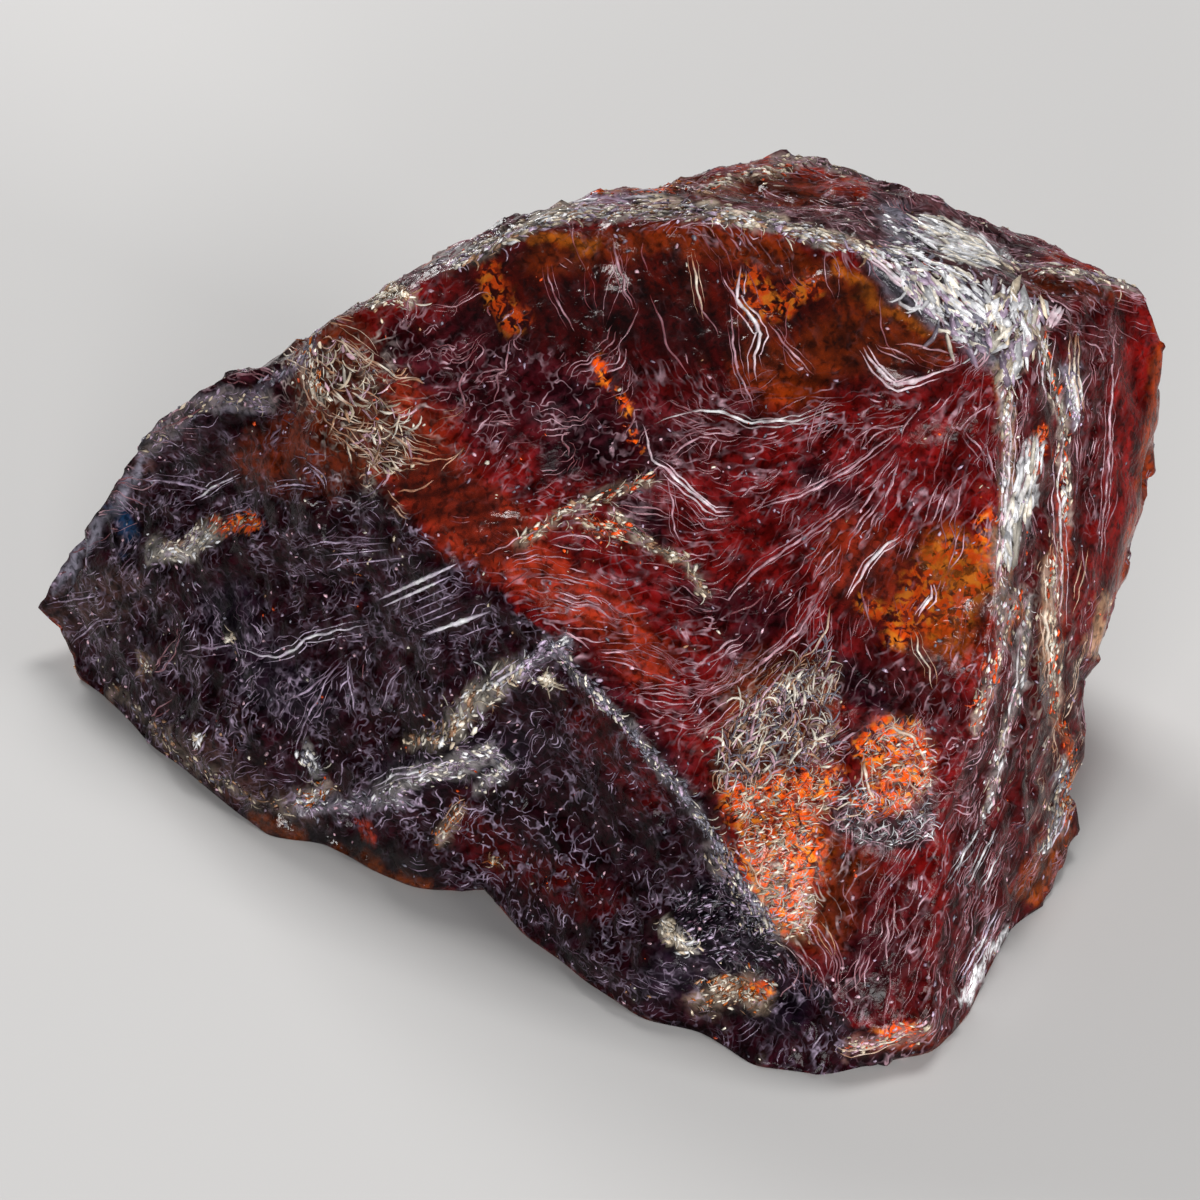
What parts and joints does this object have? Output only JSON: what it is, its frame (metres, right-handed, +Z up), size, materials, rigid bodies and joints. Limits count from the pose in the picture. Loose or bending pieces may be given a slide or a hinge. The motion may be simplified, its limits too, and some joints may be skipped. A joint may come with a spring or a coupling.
{
  "type": "sphalerite crystal",
  "caption": "Broken deep red sphalerite crystal with a bright main face, a dark side and a stepped top, lying on a flat cleavage face.",
  "frame": {"origin": "on the surface that the stone lies on, under the middle of its bounding box", "axes": "+X along the length, from the pointed end to the broad right-hand wall; -Y to the side that the picture shows; +Z up"},
  "size_m": [0.0352, 0.0292, 0.0193],
  "materials": {
    "sphalerite": "deep red, nearly opaque resinous to adamantine mineral, hackly broken faces with cream and orange specks"
  },
  "bodies": {
    "root": {"sphalerite_crystal": "sphalerite"}
  },
  "joints": []
}
